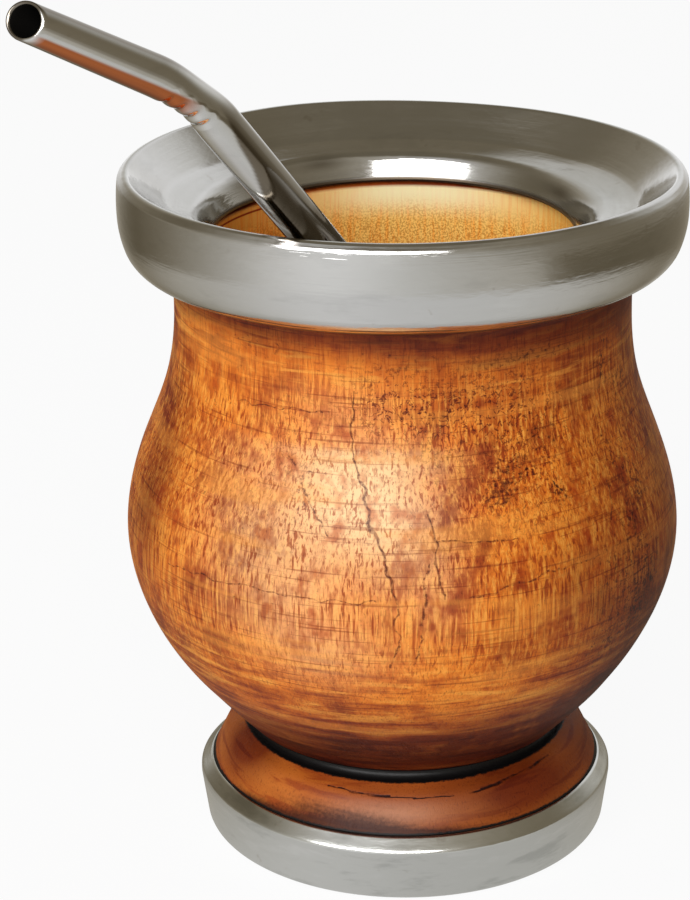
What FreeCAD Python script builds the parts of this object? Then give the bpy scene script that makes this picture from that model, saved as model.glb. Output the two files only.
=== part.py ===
import FreeCAD, Part
import math
import os

# A turned wooden drinking cup with a spun steel collar over its lip, a pressed
# steel cap under its foot, and a bent steel drinking straw standing in it.
# Millimetres, +Z up. The origin is the middle of the cap's flat underside.

# steel sheet and fits
SHEET = 0.8             # thickness of the collar and of the foot cap
FIT = 0.1               # gap between the sheet and the wood it is pressed on
STRAW_FIT = 0.15        # gap left where the straw leans on the lip and wall

# foot cap
CAP_R = 31.1            # radius of the wall at its widest
CAP_WIDE_Z = 7.1
CAP_DRAW = 0.8          # the wall is this much narrower at the floor
CAP_FLOOR_ROUND = 1.0   # rounding between underside and wall
CAP_EDGE_IN = 0.6       # start of the bevel, in from the widest place
CAP_EDGE_Z = 8.65
BEVEL_WIDE = 1.35       # the bevel reaches this much further in over the wood
BEVEL_TALL = 1.15

# wooden cup, outside
FOOT_IN = 1.95          # bead of the foot, in from the bevel's lip
FOOT_MID_Z = 13.4
WAIST_R = 24.5          # where the bowl leaves the groove
WAIST_Z = 17.75
FOOT_TOP_IN = 0.2       # top of the foot, in from the waist
FOOT_TOP_Z = 15.9
GROOVE_DEEP = 1.8       # burnt groove between foot and bowl
GROOVE_Z = 16.8
BELLY_OUT = 0.05        # the bowl is as wide as the collar and this much more
BELLY_Z = 46.6
LOW_BOWL_IN = 8.55      # the bowl is this much narrower lower down
LOW_BOWL_Z = 26.0
UNDER_BELLY_IN = 2.95
UNDER_BELLY_Z = 35.0
SHOULDER_IN = 2.55
SHOULDER_Z = 60.0
NECK_FLARE = 1.35       # the shoulder's end stands out from the neck
NECK_FLARE_Z = 70.0
NECK_Z = 79.0
NECK_TOP_Z = 85.4
NECK_UNDER_HEM = 2.85   # neck, in from the collar's hem

# wooden cup, inside
THROAT_STEP = 0.4       # the wood stands back behind the collar's mouth
BOWL_WALL = 9.85        # wall at the widest part of the hollow, from the belly
CAVITY_Z = 58.0
CAVITY_FLOOR_Z = 26.0

# steel collar, seen surface
COLLAR_R = 40.3         # widest part of the outer band
COLLAR_Z = 95.2
HEM_IN = 3.0            # lower edge, in from the widest part
HEM_Z = 88.0
HEM_TURN = 1.7          # the sheet turns in this far under the collar
BAND_LOW_IN = 0.9       # lower part of the band
BAND_LOW_Z = 90.4
BAND_HIGH_IN = 0.35
BAND_HIGH_Z = 98.3
RIM_OUT_IN = 1.1        # outer side of the top edge
RIM_OUT_Z = 100.3
RIM_WIDE = 1.05         # width of the rounded top edge
RIM_TOP_Z = 100.85
RIM_IN_Z = 100.55
FUNNEL_WIDE = 4.75      # steep upper part of the funnel
CREASE_Z = 96.0
LEDGE_WIDE = 3.4        # flatter lower part of the funnel
LIP_Z = 94.2
ROLL_WIDE = 2.5         # roll from the ledge down into the mouth
ROLL_Z = 93.1
MOUTH_Z = 91.3
MOUTH_END_Z = 90.0

# drinking straw
STEM_D = 5.8
TUBE_WALL = 0.45
MOUTH_D = 4.87          # outside diameter at the mouth end
BEND_FLAT = 4.95        # outside size across the flattened bend
BEND_WIDE = 6.0
NECKED_D = 5.35         # outside diameter just past the bend
LEAN_AZ = -117.4        # where round the rim the stem crosses it
STEM_AZ = 46.1          # heading of the stem on its way down
STEM_TILT = 41.9        # from upright
STEM_RISE = 27.4        # along the stem from rim height to the bend's corner
MOUTH_AZ = -145.9       # heading of the mouth piece
MOUTH_ELEV = 26.9
MOUTH_LEN = 25.55       # from the bend's corner to the middle of the mouth
MOUTH_CUT = 28.0        # slant of the cut at the mouth end
VIEW_AZ = -83.1         # heading of the side that the slant faces
VIEW_ELEV = 11.8
BEND_R = 30.0
BEND_STEPS = 8
CRIMPS = 4
CRIMP_PITCH = 2.1
CRIMP_DEPTH = 0.16
CRIMP_TOOL_R = 0.9
SIEVE_HOLE_D = 1.3
SIEVE_ROWS = 3
SIEVE_PITCH = 2.6
SIEVE_ROUND = 2         # drillings through the tube in each row

os.makedirs("parts", exist_ok=True)


def at(radius, height):
    return FreeCAD.Vector(radius, 0, height)


def line(a, b):
    return Part.LineSegment(a, b).toShape()


def arc(a, b, c):
    return Part.Arc(a, b, c).toShape()


def turned(edges):
    """Solid of revolution about Z from a closed chain of edges."""
    face = Part.Face(Part.Wire(edges))
    solid = face.revolve(FreeCAD.Vector(0, 0, 0), FreeCAD.Vector(0, 0, 1), 360)
    if solid.Volume < 0:
        solid.reverse()
    return solid


def offset_chain(edges, distance):
    """Edges of the same chain moved sideways, and its two end points."""
    moved = Part.Wire(edges).makeOffset2D(distance, 2, False, True)
    ends = moved.OrderedVertexes
    return list(moved.OrderedEdges), ends[0].Point, ends[-1].Point


def sheet(edges, side):
    """Solid of revolution of sheet thickness on one side of a seen profile."""
    inner, first, last = offset_chain(edges, side * SHEET)
    start = edges[0].valueAt(edges[0].FirstParameter)
    end = edges[-1].valueAt(edges[-1].LastParameter)
    return turned(edges + [line(end, last)] + inner[::-1] + [line(first, start)])


def unit(azimuth, elevation):
    a = math.radians(azimuth)
    e = math.radians(elevation)
    return FreeCAD.Vector(math.cos(e) * math.cos(a), math.cos(e) * math.sin(a), math.sin(e))


# foot cap: a shallow pressed cup with its rim bevelled in over the wood
cap_low_r = CAP_R - CAP_DRAW
cap_round = at(cap_low_r - CAP_FLOOR_ROUND * 0.3, CAP_FLOOR_ROUND * 0.3)
cap_edge = at(CAP_R - CAP_EDGE_IN, CAP_EDGE_Z)
cap_lip = at(cap_edge.x - BEVEL_WIDE, CAP_EDGE_Z + BEVEL_TALL)
cap_wide = at(CAP_R, CAP_WIDE_Z)
cap_shoulder = at(CAP_R - 0.3 * CAP_EDGE_IN, 0.5 * (CAP_WIDE_Z + CAP_EDGE_Z))
cap_chain = [
    line(at(0, 0), at(cap_low_r - CAP_FLOOR_ROUND, 0)),
    arc(at(cap_low_r - CAP_FLOOR_ROUND, 0), cap_round, at(cap_low_r, CAP_FLOOR_ROUND)),
    line(at(cap_low_r, CAP_FLOOR_ROUND), cap_wide),
    arc(cap_wide, cap_shoulder, cap_edge),
    line(cap_edge, cap_lip),
]
base_cap = sheet(cap_chain, 1)

# collar: band, top edge, funnel and the lip that rolls into the mouth
hem = at(COLLAR_R - HEM_IN, HEM_Z)
hem_r = hem.x - HEM_TURN
band_low = at(COLLAR_R - BAND_LOW_IN, BAND_LOW_Z)
band_low_mid = at(0.42 * hem.x + 0.58 * band_low.x, 0.58 * HEM_Z + 0.42 * BAND_LOW_Z)
band = at(COLLAR_R, COLLAR_Z)
band_mid = at(COLLAR_R - 0.28 * BAND_LOW_IN, 0.5 * (BAND_LOW_Z + COLLAR_Z))
rim_out = at(COLLAR_R - RIM_OUT_IN, RIM_OUT_Z)
rim_top = at(rim_out.x - 0.43 * RIM_WIDE, RIM_TOP_Z)
rim_in = at(rim_out.x - RIM_WIDE, RIM_IN_Z)
crease = at(rim_in.x - FUNNEL_WIDE, CREASE_Z)
lip = at(crease.x - LEDGE_WIDE, LIP_Z)
mouth_r = lip.x - ROLL_WIDE
collar_chain = [
    line(at(hem_r, HEM_Z), hem),
    arc(hem, band_low_mid, band_low),
    arc(band_low, band_mid, band),
    arc(band, at(COLLAR_R - BAND_HIGH_IN, BAND_HIGH_Z), rim_out),
    arc(rim_out, rim_top, rim_in),
    line(rim_in, crease),
    line(crease, lip),
    arc(lip, at(mouth_r + 0.24 * ROLL_WIDE, ROLL_Z), at(mouth_r, MOUTH_Z)),
    line(at(mouth_r, MOUTH_Z), at(mouth_r, MOUTH_END_Z)),
]
rim_collar = sheet(collar_chain, 1)

# wooden cup, one turned piece: it fills the cap and the collar
wood_low, low_start, low_end = offset_chain(cap_chain, SHEET + FIT)
bevel = (cap_lip - cap_edge).normalize()
foot_inner = low_end + bevel * FIT
foot_outer = cap_lip + bevel * FIT
wood_top, top_start, top_end = offset_chain(collar_chain, SHEET + FIT)
bead_in = at(hem_r - FIT, HEM_Z + SHEET)
bead_low = at(hem_r - FIT, HEM_Z)
belly_r = COLLAR_R + BELLY_OUT
foot_mid = at(cap_lip.x - FOOT_IN, FOOT_MID_Z)
foot_top = at(WAIST_R - FOOT_TOP_IN, FOOT_TOP_Z)
groove = at(WAIST_R - GROOVE_DEEP, GROOVE_Z)
waist = at(WAIST_R, WAIST_Z)
neck_r = hem_r - NECK_UNDER_HEM
neck_top = at(neck_r, NECK_TOP_Z)
neck_cove = at(neck_r + 0.25 * NECK_UNDER_HEM, HEM_Z - 0.3 * (HEM_Z - NECK_TOP_Z))
bowl = Part.BSplineCurve()
bowl.interpolate([
    waist,
    at(belly_r - LOW_BOWL_IN, LOW_BOWL_Z),
    at(belly_r - UNDER_BELLY_IN, UNDER_BELLY_Z),
    at(belly_r, BELLY_Z),
    at(belly_r - SHOULDER_IN, SHOULDER_Z),
    at(neck_r + NECK_FLARE, NECK_FLARE_Z),
    at(neck_r, NECK_Z),
    neck_top,
])
mouth_edge = at(mouth_r + THROAT_STEP, MOUTH_END_Z - FIT)
hollow = Part.BSplineCurve()
hollow.interpolate(
    [mouth_edge, at(belly_r - BOWL_WALL, CAVITY_Z), at(0, CAVITY_FLOOR_Z)],
    Tangents=[FreeCAD.Vector(0, 0, -1), FreeCAD.Vector(0, 0, -1), FreeCAD.Vector(-1, 0, 0)],
    TangentFlags=[True, True, True],
    Scale=True,
)
cup_body = turned(
    wood_low
    + [
        line(low_end, foot_inner),
        line(foot_inner, foot_outer),
        arc(foot_outer, foot_mid, foot_top),
        arc(foot_top, groove, waist),
        bowl.toShape(),
        arc(neck_top, neck_cove, bead_low),
        line(bead_low, bead_in),
        line(bead_in, top_start),
    ]
    + wood_top
    + [
        line(top_end, at(top_end.x, mouth_edge.z)),
        line(at(top_end.x, mouth_edge.z), mouth_edge),
        hollow.toShape(),
        line(at(0, CAVITY_FLOOR_Z), low_start),
    ]
)

# drinking straw: place the stem against the lip, then slide it down to the wall
stem_r = 0.5 * STEM_D
down = unit(STEM_AZ, STEM_TILT - 90)
lean = unit(LEAN_AZ, 0)


def stem_at(rho):
    """Point at rim height that the stem's axis passes, rho from the middle."""
    return FreeCAD.Vector(lean.x * rho, lean.y * rho, RIM_TOP_Z)


near = 0.3 * mouth_r
far = 1.18 * crease.x
past_lip = 2 * (RIM_TOP_Z - MOUTH_END_Z)
for _ in range(16):
    rho = 0.5 * (near + far)
    axis = line(stem_at(rho) - down * STEM_D, stem_at(rho) + down * past_lip)
    if axis.distToShape(rim_collar)[0] > stem_r + STRAW_FIT:
        near = rho
    else:
        far = rho
rim_point = stem_at(near)

above = 3 * STEM_D
below = 2 * (RIM_TOP_Z + COLLAR_R)
for _ in range(18):
    reach = 0.5 * (above + below)
    stem_axis = line(rim_point, rim_point + down * reach)
    if stem_axis.distToShape(cup_body)[0] > stem_r + STRAW_FIT:
        above = reach
    else:
        below = reach
tip = rim_point + down * above

corner = rim_point - down * STEM_RISE
to_mouth = unit(MOUTH_AZ, MOUTH_ELEV)
turn = to_mouth.getAngle(down * -1)
tangent = BEND_R * math.tan(0.5 * turn)
bend_start = corner + down * tangent
bend_end = corner + to_mouth * tangent
bend_axis = (down * -1).cross(to_mouth).normalize()
to_centre = bend_axis.cross(down * -1).normalize()
bend_centre = bend_start + to_centre * BEND_R
mouth_middle = corner + to_mouth * MOUTH_LEN
up_stem = down * -1


def ring(spot, heading, r_across, r_in_plane):
    """Round or flattened wire square to the heading."""
    curve = Part.Ellipse(spot, max(r_across, r_in_plane), min(r_across, r_in_plane))
    curve.Axis = heading
    curve.XAxis = bend_axis
    return Part.Wire(curve.toShape())


def bend_piece(shrink):
    """Bent part of the tube: round at its ends and flattened in its middle."""
    rings = []
    for i in range(BEND_STEPS + 1):
        f = i / BEND_STEPS
        swell = math.sin(math.pi * f) ** 2
        ends = (1 - f) * STEM_D + f * NECKED_D
        r_in_plane = 0.5 * ((1 - swell) * ends + swell * BEND_FLAT) - shrink
        r_across = 0.5 * ((1 - swell) * ends + swell * BEND_WIDE) - shrink
        angle = f * turn
        outward = to_centre * -math.cos(angle) + up_stem * math.sin(angle)
        heading = to_centre * math.sin(angle) + up_stem * math.cos(angle)
        rings.append(ring(bend_centre + outward * BEND_R, heading, r_across, r_in_plane))
    return Part.makeLoft(rings, True, False)


def straw_form(shrink):
    """The straw as a filled form, smaller all round by shrink."""
    r = stem_r - shrink
    length = (bend_start - tip).Length
    slant = r * math.sqrt(0.5)
    stem = turned([
        arc(at(0, -r), at(slant, -slant), at(r, 0)),
        line(at(r, 0), at(r, length)),
        line(at(r, length), at(0, length)),
        line(at(0, length), at(0, -r)),
    ])
    stem.Placement = FreeCAD.Placement(tip, FreeCAD.Rotation(bend_axis, bend_axis, up_stem, "ZXY"))
    run = MOUTH_LEN - tangent + 0.5 * MOUTH_D + 1.0
    mouth = Part.makeCone(0.5 * NECKED_D - shrink, 0.5 * MOUTH_D - shrink, run)
    mouth.Placement = FreeCAD.Placement(bend_end,
                                        FreeCAD.Rotation(bend_axis, bend_axis, to_mouth, "ZXY"))
    return stem.fuse(bend_piece(shrink)).fuse(mouth)


tube = straw_form(0).cut(straw_form(TUBE_WALL))
view = unit(VIEW_AZ, VIEW_ELEV)
cut_axis = to_mouth.cross(view).normalize()
cut_face = FreeCAD.Rotation(cut_axis, MOUTH_CUT).multVec(to_mouth)
block = Part.makeCylinder(2 * MOUTH_D, 3 * MOUTH_D, mouth_middle, cut_face)
tube = tube.cut(block)
crimps = []
for i in range(CRIMPS):
    angle = 0.5 * turn + (i - 0.5 * (CRIMPS - 1)) * CRIMP_PITCH / BEND_R
    out = to_centre * -math.cos(angle) + (down * -1) * math.sin(angle)
    centre = bend_centre + out * (BEND_R - 0.5 * BEND_FLAT - CRIMP_TOOL_R + CRIMP_DEPTH)
    crimps.append(Part.makeCylinder(CRIMP_TOOL_R, 2 * BEND_WIDE, centre - bend_axis * BEND_WIDE, bend_axis))
tube = tube.cut(crimps)
holes = []
side = down.cross(FreeCAD.Vector(0, 0, 1)).normalize()
for row in range(SIEVE_ROWS):
    spot = tip - down * (SIEVE_PITCH * (row + 0.6))
    for k in range(SIEVE_ROUND):
        swing = (k + 0.5 * (row % 2)) * 180 / SIEVE_ROUND
        turned_side = FreeCAD.Rotation(down, swing).multVec(side)
        holes.append(Part.makeCylinder(0.5 * SIEVE_HOLE_D, STEM_D + 2,
                                       spot - turned_side * (stem_r + 1), turned_side))
bombilla = tube.cut(holes)

for name, shape in (("base_cap", base_cap), ("cup_body", cup_body),
                    ("rim_collar", rim_collar), ("bombilla", bombilla)):
    solids = shape.Solids
    print(name, len(solids), "solid", shape.isValid(), round(shape.Volume, 1), "mm3")
    solids[0].exportStep("parts/" + name + ".step")
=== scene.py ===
import bpy
import bmesh
import math
import numpy as np
from mathutils import Matrix, Vector


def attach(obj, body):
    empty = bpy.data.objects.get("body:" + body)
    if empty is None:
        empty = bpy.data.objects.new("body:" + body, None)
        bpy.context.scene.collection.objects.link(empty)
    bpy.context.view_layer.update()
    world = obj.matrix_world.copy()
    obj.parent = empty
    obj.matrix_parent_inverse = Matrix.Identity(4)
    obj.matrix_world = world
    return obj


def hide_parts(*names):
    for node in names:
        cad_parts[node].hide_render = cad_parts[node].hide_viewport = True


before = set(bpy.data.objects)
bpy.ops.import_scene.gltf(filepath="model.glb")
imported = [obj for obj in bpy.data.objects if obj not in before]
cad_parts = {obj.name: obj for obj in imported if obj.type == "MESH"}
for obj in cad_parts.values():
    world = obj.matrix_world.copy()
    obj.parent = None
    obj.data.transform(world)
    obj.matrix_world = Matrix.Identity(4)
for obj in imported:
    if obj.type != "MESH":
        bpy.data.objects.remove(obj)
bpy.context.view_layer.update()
mm = 0.001

# Camera: it stands in front of the cup and a little above it, where the photograph was
# taken from, level with the upper part of the straw and looking down on the mouth.
camera_data = bpy.data.cameras.new("camera")
camera_data.sensor_fit = "AUTO"
camera_data.sensor_width = 36.0
camera_data.lens = 105.354
camera_data.clip_start = 0.01
camera_data.clip_end = 20.0
camera = bpy.data.objects.new("camera", camera_data)
bpy.context.scene.collection.objects.link(camera)
camera_down = math.radians(21.222)
camera_roll = -0.0136
camera.matrix_world = (
    Matrix.Translation((-8.549 * mm, -359.65 * mm, 197.42 * mm))
    @ Matrix.Rotation(math.radians(90.0) - camera_down, 4, "X")
    @ Matrix.Rotation(camera_roll, 4, "Z")
)
bpy.context.scene.camera = camera
bpy.context.scene.view_settings.view_transform = "Standard"


# Studio: a wide pale floor, a soft even sky and one tall window to the left of the
# camera. Steel sees a dim room with a bright back wall, as it does in the photograph.
def plug(tree, value, socket):
    """Link a socket, or set a constant."""
    if isinstance(value, bpy.types.NodeSocket):
        tree.links.new(value, socket)
    else:
        socket.default_value = value


def new_node(tree, kind, inputs=(), **settings):
    """Add a node, set it up and plug its inputs, which are pairs of key and value."""
    node = tree.nodes.new(kind)
    for key, value in settings.items():
        setattr(node, key, value)
    for key, value in dict(inputs).items():
        plug(tree, value, node.inputs[key])
    return node


def calc(tree, operation, *values):
    return new_node(tree, "ShaderNodeMath", enumerate(values), operation=operation).outputs[0]


def times(tree, first, second):
    return calc(tree, "MULTIPLY", first, second)


def linear(tree, value, slope, base):
    return calc(tree, "MULTIPLY_ADD", value, slope, base)


def vector_calc(tree, operation, *values):
    node = new_node(tree, "ShaderNodeVectorMath", enumerate(values), operation=operation)
    scalar = operation in ("DOT_PRODUCT", "LENGTH", "DISTANCE")
    return node.outputs["Value" if scalar else "Vector"]


def scaled(tree, vector, factor):
    inputs = {0: vector, "Scale": factor}
    return new_node(tree, "ShaderNodeVectorMath", inputs, operation="SCALE").outputs[0]


def from_axis(tree, place):
    """Distance from the upright middle line."""
    return vector_calc(tree, "LENGTH", vector_calc(tree, "MULTIPLY", place, (1.0, 1.0, 0.0)))


def blend(tree, factor, first, second, mode="MIX"):
    """Mix two colours."""
    inputs = {0: factor, 6: first, 7: second}
    return new_node(tree, "ShaderNodeMix", inputs, data_type="RGBA", blend_type=mode).outputs[2]


def fade(tree, value, low, high):
    """0 at low, 1 at high, with a soft change between them."""
    inputs = {"Value": value, "From Min": low, "From Max": high}
    return new_node(tree, "ShaderNodeMapRange", inputs, interpolation_type="SMOOTHSTEP").outputs[0]


def ramp(tree, value, stops):
    node = new_node(tree, "ShaderNodeValToRGB", {0: value})
    node.color_ramp.interpolation = "B_SPLINE"
    bands = node.color_ramp.elements
    while len(bands) < len(stops):
        bands.new(0.5)
    for band, (place, colour) in zip(bands, stops):
        band.position = place
        band.color = (*colour, 1)
    return node.outputs[0]


def noise_at(tree, vector, scale, detail=2.0, rough=0.5, seed=0.0, curl=0.0):
    inputs = {"Vector": vector, "Scale": scale, "Detail": detail, "Roughness": rough, "W": seed,
              "Distortion": curl}
    return new_node(tree, "ShaderNodeTexNoise", inputs, noise_dimensions="4D").outputs[0]


def stretched(tree, vector, scale):
    return new_node(tree, "ShaderNodeMapping", {"Vector": vector, "Scale": scale}).outputs[0]


def object_place(tree):
    return new_node(tree, "ShaderNodeTexCoord").outputs["Object"]


def split(tree, vector):
    return new_node(tree, "ShaderNodeSeparateXYZ", {0: vector}).outputs


def shader_mix(tree, factor, first, second):
    return new_node(tree, "ShaderNodeMixShader", {0: factor, 1: first, 2: second}).outputs[0]


def backdrop(tree, colour, strength=1.0):
    return new_node(tree, "ShaderNodeBackground", {"Color": colour, "Strength": strength}).outputs[0]


def new_material(name):
    material = bpy.data.materials.new(name)
    material.use_nodes = True
    material.node_tree.nodes.clear()
    output = new_node(material.node_tree, "ShaderNodeOutputMaterial")
    return material, material.node_tree, output.inputs["Surface"]


def bearing(tree, vector):
    """Where a direction points round the cup: 0 and 1 at the back, 0.5 in front."""
    parts = split(tree, vector)
    turn = calc(tree, "ARCTAN2", parts["X"], times(tree, parts["Y"], -1.0))
    return linear(tree, turn, 0.5 / math.pi, 0.5), parts["Z"]


def greys(pairs):
    """Ramp stops from (bearing in degrees, brightness), dark ones olive brown."""
    stops = []
    for degrees, value in pairs:
        green = value * (1 - 0.22 * max(0.0, 1 - value / 0.66))
        blue = value * (1 - 0.58 * max(0.0, 1 - value / 0.72))
        stops.append(((degrees + 180) / 360, (value, green, blue)))
    return stops


world = bpy.data.worlds.new("studio")
bpy.context.scene.world = world
world.use_nodes = True
tree = world.node_tree
tree.nodes.clear()
place = new_node(tree, "ShaderNodeTexCoord").outputs["Generated"]
around, height = bearing(tree, place)
horizon = ramp(tree, around, greys([
    (-180, 1.15), (-166, 1.00), (-150, 0.50), (-138, 0.16), (-120, 0.19), (-93, 0.33), (-62, 0.50),
    (-31, 1.10), (0, 0.62), (33, 0.36), (60, 0.20), (100, 0.19), (130, 0.45), (148, 0.40), (165, 0.95),
    (180, 1.15)]))
upper = ramp(tree, around, greys([
    (-180, 0.66), (-166, 0.42), (-150, 0.28), (-130, 0.20), (-108, 0.14), (-84, 0.25), (-50, 0.60),
    (-31, 0.85), (-12, 0.72), (3, 0.50), (35, 0.30), (60, 0.22), (86, 0.20), (108, 0.20), (130, 0.62),
    (152, 0.95), (166, 0.90), (180, 0.66)]))
ceiling = ramp(tree, around, greys([
    (-180, 0.20), (-110, 0.15), (-77, 0.40), (-42, 0.72), (3, 0.50), (46, 0.32), (80, 0.22), (110, 0.15),
    (180, 0.20)]))
room = blend(tree, fade(tree, height, 0.05, 0.32), horizon, upper)
room = blend(tree, fade(tree, height, 0.54, 0.74), room, ceiling)
room = blend(tree, fade(tree, height, 0.82, 0.95), room, (0.17, 0.145, 0.10, 1))
sky_colour = blend(tree, fade(tree, split(tree, place)["X"], -0.7, 0.7), (1.2, 1.18, 1.15, 1),
                   (0.42, 0.41, 0.40, 1))
light_path = new_node(tree, "ShaderNodeLightPath").outputs
mirrored = calc(tree, "MAXIMUM", light_path["Is Glossy Ray"], light_path["Is Transmission Ray"])
studio = shader_mix(tree, mirrored, backdrop(tree, sky_colour, 0.30), backdrop(tree, room))
studio = shader_mix(tree, light_path["Is Camera Ray"], studio, backdrop(tree, (1, 1, 1, 1)))
new_node(tree, "ShaderNodeOutputWorld", {"Surface": studio})

floor_material, tree, surface = new_material("floor_paper")
place = object_place(tree)
around = bearing(tree, place)[0]
# For glossy rays the floor glows with a painted room, lighter and darker by bearing, with a painted shadow
# close to the cup.
far_floor = ramp(tree, around, greys([
    (-180, 1.10), (-164, 0.90), (-148, 0.30), (-133, 0.12), (-120, 0.14), (-93, 0.28), (-62, 0.58),
    (-31, 1.05), (0, 0.66), (33, 0.50), (60, 0.21), (100, 0.19), (137, 0.35), (158, 0.75), (180, 1.10)]))
mid_floor = ramp(tree, around, greys([
    (-180, 0.55), (-158, 0.35), (-135, 0.12), (-120, 0.14), (-93, 0.28), (-62, 0.58), (-31, 1.05),
    (0, 0.66), (33, 0.52), (48, 0.50), (57, 0.20), (66, 0.15), (100, 0.14), (137, 0.20), (160, 0.30),
    (180, 0.55)]))
near_floor = ramp(tree, around, greys([
    (-180, 0.60), (-150, 0.30), (-132, 0.22), (-106, 0.45), (-72, 0.58), (-35, 0.88),
    (0, 0.70), (40, 0.68), (75, 0.56), (105, 0.34), (130, 0.20), (150, 0.45), (180, 0.60)]))
from_cup = vector_calc(tree, "LENGTH", place)
near_floor = blend(tree, fade(tree, from_cup, 0.085, 0.055), near_floor, (0.82, 0.81, 0.80, 1), "MULTIPLY")
floor_room = blend(tree, fade(tree, from_cup, 0.19, 0.26), near_floor, mid_floor)
floor_room = blend(tree, fade(tree, from_cup, 0.36, 0.60), floor_room, far_floor)
light_path = new_node(tree, "ShaderNodeLightPath").outputs
paper = new_node(tree, "ShaderNodeBsdfDiffuse", {"Color": (0.76, 0.76, 0.76, 1)}).outputs[0]
lit_paper = new_node(tree, "ShaderNodeEmission").outputs[0]
paper = shader_mix(tree, times(tree, light_path["Is Camera Ray"], 0.93), paper, lit_paper)
mirrored_paper = new_node(tree, "ShaderNodeEmission", {"Color": floor_room}).outputs[0]
plug(tree, shader_mix(tree, light_path["Is Glossy Ray"], paper, mirrored_paper), surface)
floor_mesh = bpy.data.meshes.new("floor")
floor_half = 3.0
floor_mesh.from_pydata(
    [(-floor_half, -floor_half, 0), (floor_half, -floor_half, 0),
     (floor_half, floor_half, 0), (-floor_half, floor_half, 0)],
    [], [(0, 1, 2, 3)])
floor_mesh.materials.append(floor_material)
floor = bpy.data.objects.new("floor", floor_mesh)
bpy.context.scene.collection.objects.link(floor)

window_data = bpy.data.lights.new("window", "AREA")
window_data.shape = "RECTANGLE"
window_data.size, window_data.size_y = 1.45, 0.64
window_data.energy = 18.0
window = bpy.data.objects.new("window", window_data)
bpy.context.scene.collection.objects.link(window)
window.location = (-0.36, -1.07, 0.76)
window.rotation_euler = (Vector((0, 0, 0.06)) - window.location).to_track_quat("-Z", "Y").to_euler()


# Wooden cup: one turned piece of oiled hardwood, hollowed from the top, with a burnt
# groove at the waist. Its form is the lathe profile turned round the middle line.
def arc_points(a, b, c, steps):
    """Points on the arc from a over b to c, in (radius, height)."""
    ax, ay = a
    bx, by = b
    cx, cy = c
    d = 2 * (ax * (by - cy) + bx * (cy - ay) + cx * (ay - by))
    ux = ((ax * ax + ay * ay) * (by - cy) + (bx * bx + by * by) * (cy - ay)
          + (cx * cx + cy * cy) * (ay - by)) / d
    uy = ((ax * ax + ay * ay) * (cx - bx) + (bx * bx + by * by) * (ax - cx)
          + (cx * cx + cy * cy) * (bx - ax)) / d
    start = math.atan2(ay - uy, ax - ux)
    middle = math.atan2(by - uy, bx - ux)
    end = math.atan2(cy - uy, cx - ux)
    turn = 2 * math.pi
    sweep = (end - start) % turn
    if (middle - start) % turn > sweep:
        sweep -= turn
    r = math.hypot(ax - ux, ay - uy)
    return [(ux + r * math.cos(start + sweep * i / steps), uy + r * math.sin(start + sweep * i / steps))
            for i in range(steps + 1)]


def line_points(a, b, steps):
    return [(a[0] + (b[0] - a[0]) * i / steps, a[1] + (b[1] - a[1]) * i / steps)
            for i in range(steps + 1)]


def spline_points(points, steps, start_slope=None, end_slope=None):
    """Smooth curve through the points, each span cut into steps."""
    points = np.array(points)
    n = len(points)
    spans = np.linalg.norm(np.diff(points, axis=0), axis=1)
    slopes = np.diff(points, axis=0) / spans[:, None]
    system = np.eye(n)
    change = np.zeros((n, 2))
    for i in range(1, n - 1):
        system[i, i - 1:i + 2] = spans[i - 1], 2 * (spans[i - 1] + spans[i]), spans[i]
        change[i] = slopes[i] - slopes[i - 1]
    if start_slope is not None:
        system[0, :2] = 2 * spans[0], spans[0]
        change[0] = slopes[0] - start_slope
    if end_slope is not None:
        system[-1, -2:] = spans[-1], 2 * spans[-1]
        change[-1] = end_slope - slopes[-1]
    bent = np.linalg.solve(system, change)
    result = []
    for i in range(n - 1):
        for k in range(steps + (i == n - 2)):
            f = k / steps
            a = 1 - f
            bulge = ((a ** 3 - a) * bent[i] + (f ** 3 - f) * bent[i + 1]) * spans[i] ** 2
            result.append(tuple((a * points[i] + f * points[i + 1] + bulge).tolist()))
    return result


def chain(*runs):
    """Join runs of points, leaving out doubled ones."""
    points = []
    for run in runs:
        for p in run:
            if not points or math.dist(p, points[-1]) > 1e-4:
                points.append(p)
    return points


def moved_in(points, distance):
    """The same profile, moved sideways to the left of its direction."""
    result = []
    for i, p in enumerate(points):
        before = points[max(i - 1, 0)]
        after = points[min(i + 1, len(points) - 1)]
        dx, dz = after[0] - before[0], after[1] - before[1]
        length = math.hypot(dx, dz)
        result.append((max(0.0, p[0] - dz / length * distance), p[1] + dx / length * distance))
    return result


def lining(points, distance):
    """The profile moved in by a distance, without the folds in its tight turns."""
    result = []
    for p in moved_in(points, distance):
        nearest = min(math.dist(p, q) for q in points)
        if nearest > distance - 0.05:
            result.append(p)
    return result


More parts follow.
